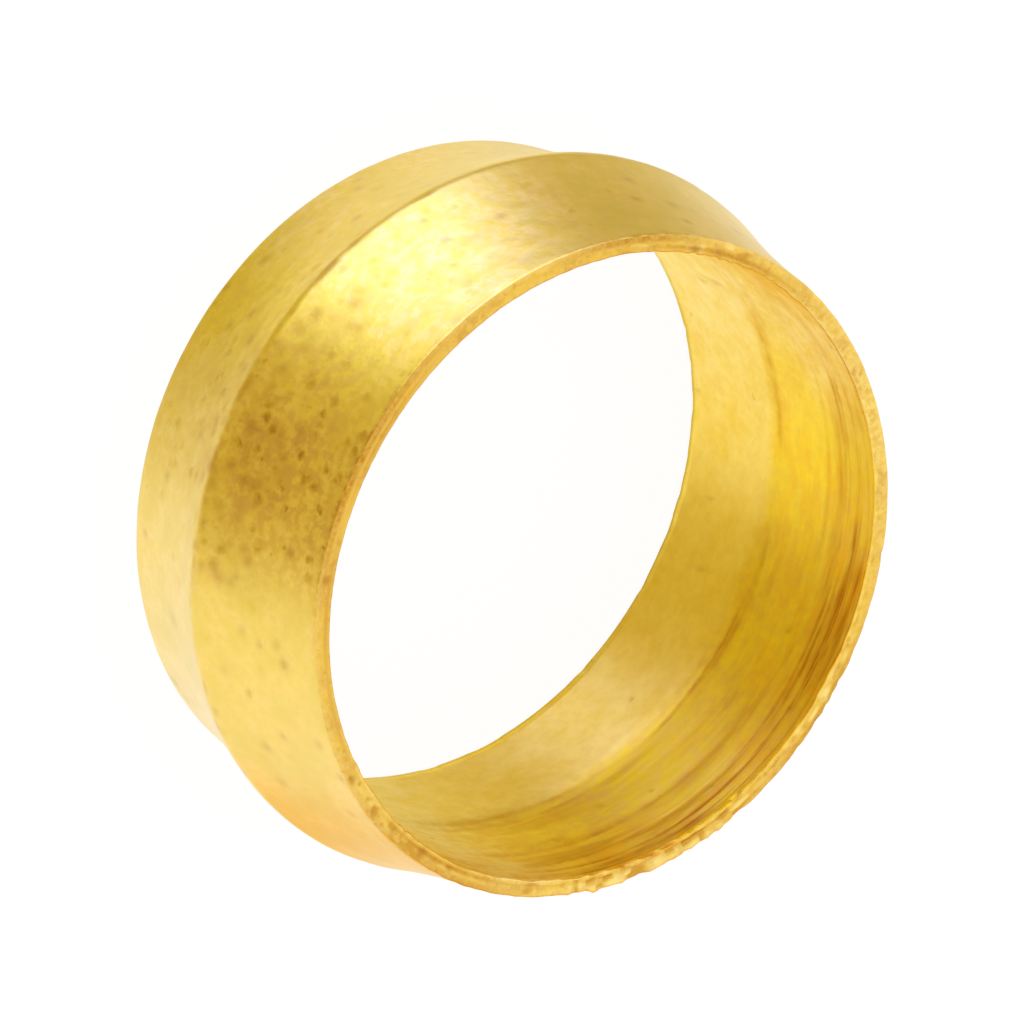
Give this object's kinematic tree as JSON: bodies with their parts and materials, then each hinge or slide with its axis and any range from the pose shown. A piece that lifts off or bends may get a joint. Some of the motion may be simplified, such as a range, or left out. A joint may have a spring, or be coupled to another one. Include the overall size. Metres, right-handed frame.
{
  "type": "compression ring",
  "caption": "Turned brass compression olive: a thin ring with two shallow conical flanks meeting in a rounded crest, and a straight through bore for a pipe.",
  "frame": {"origin": "centre of the foot end's face, on the ring's axis: the bottom centre of its box", "axes": "+Z along the bore axis, from the foot end up to the mouth end; +X and +Y are any two square directions across it, since the ring is round"},
  "size_m": [0.0174, 0.0174, 0.0074],
  "materials": {
    "brass": "turned yellow brass, satin, with fine turning marks, small pits and a light tarnish"
  },
  "bodies": {
    "root": {"compression_ring": "brass"}
  },
  "joints": []
}
